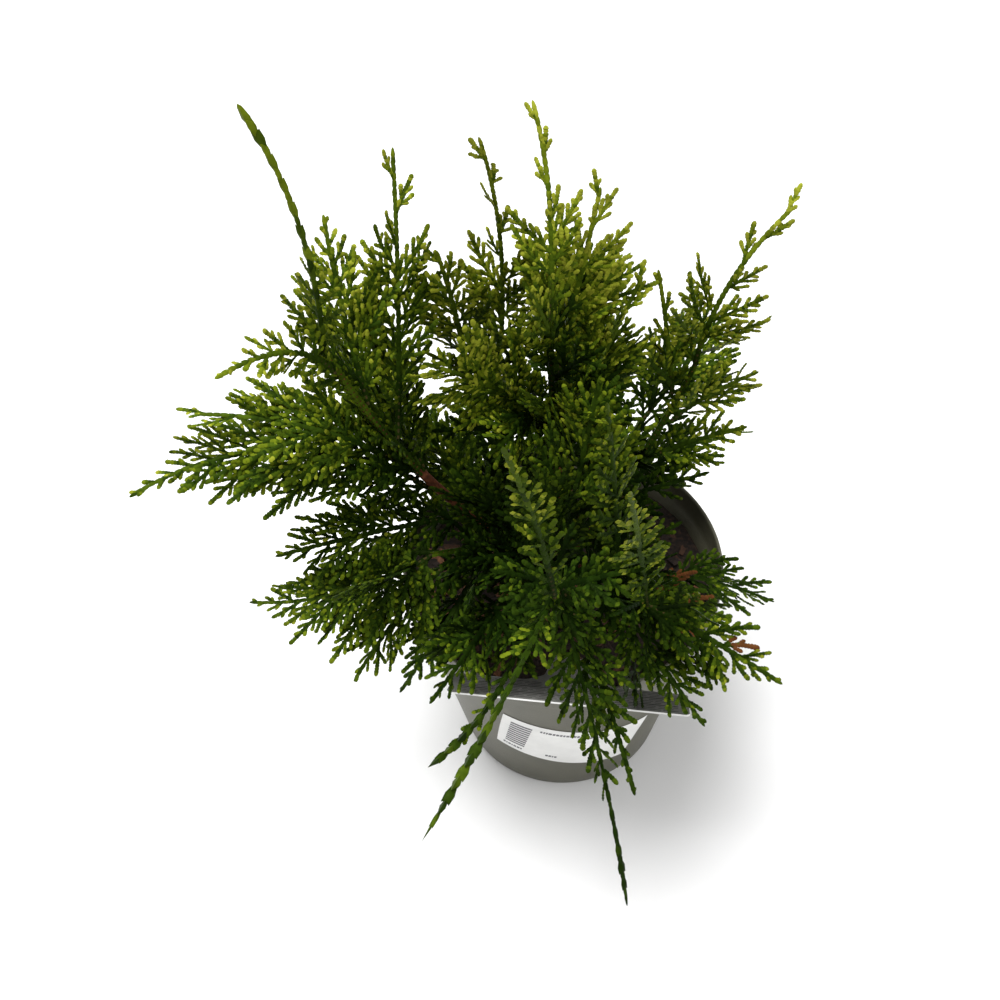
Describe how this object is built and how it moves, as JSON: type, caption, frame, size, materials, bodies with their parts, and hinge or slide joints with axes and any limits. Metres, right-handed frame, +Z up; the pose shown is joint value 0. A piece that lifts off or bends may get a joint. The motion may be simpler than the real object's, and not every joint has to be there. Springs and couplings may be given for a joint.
{
  "type": "potted thuja",
  "caption": "Young hedging thuja with flat sprays of scale leaves, in a round grey nursery pot with bark-topped soil and a plain label card.",
  "frame": {"origin": "centre of the pot's flat underside", "axes": "+Z up along the pot's axis; +X to the right of a viewer at the front; +Y to the back; the label card leans over the rim at -Y"},
  "size_m": [0.2963, 0.3216, 0.4086],
  "materials": {
    "pot_plastic": "satin",
    "potting_soil": "matte",
    "label_plastic": "satin",
    "bark": "matte",
    "scale_leaves": "matte"
  },
  "bodies": {
    "root": {"bough_back": "bark", "bough_back_left": "bark", "bough_back_low": "bark", "bough_back_right": "bark", "bough_front": "bark", "bough_front_left": "bark", "bough_front_right": "bark", "bough_left": "bark", "bough_left_low": "bark", "bough_right": "bark", "bough_right_low": "bark", "foliage_back_high": "scale_leaves", "foliage_back_left_fan": "scale_leaves", "foliage_back_left_low": "scale_leaves", "foliage_back_left_tall": "scale_leaves", "foliage_back_low": "scale_leaves", "foliage_back_middle": "scale_leaves", "foliage_back_right": "scale_leaves", "foliage_back_right_low": "scale_leaves", "foliage_crown_front": "scale_leaves", "foliage_crown_left": "scale_leaves", "foliage_crown_right": "scale_leaves", "foliage_crown_side": "scale_leaves", "foliage_front_crest": "scale_leaves", "foliage_front_hang": "scale_leaves", "foliage_front_hang_side": "scale_leaves", "foliage_front_left": "scale_leaves", "foliage_front_left_hang": "scale_leaves", "foliage_front_left_up": "scale_leaves", "foliage_front_long": "scale_leaves", "foliage_front_right_far": "scale_leaves", "foliage_front_right_low": "scale_leaves", "foliage_front_right_side": "scale_leaves", "foliage_front_right_tall": "scale_leaves", "foliage_front_right_up": "scale_leaves", "foliage_front_tall": "scale_leaves", "foliage_leader": "scale_leaves", "foliage_left_back": "scale_leaves", "foliage_left_curved": "scale_leaves", "foliage_left_deep": "scale_leaves", "foliage_left_far": "scale_leaves", "foliage_left_inner": "scale_leaves", "foliage_left_leader": "scale_leaves", "foliage_left_under": "scale_leaves", "foliage_left_upright": "scale_leaves", "foliage_left_wide": "scale_leaves", "foliage_low_left": "scale_leaves", "foliage_low_left_front": "scale_leaves", "foliage_low_left_inner": "scale_leaves", "foliage_low_right": "scale_leaves", "foliage_low_right_back": "scale_leaves", "foliage_right_foot": "scale_leaves", "foliage_right_inner": "scale_leaves", "foliage_right_leader": "scale_leaves", "foliage_right_low": "scale_leaves", "foliage_right_side": "scale_leaves", "label_card": "label_plastic", "pot": "pot_plastic", "soil": "potting_soil", "trunk": "bark"}
  },
  "joints": []
}
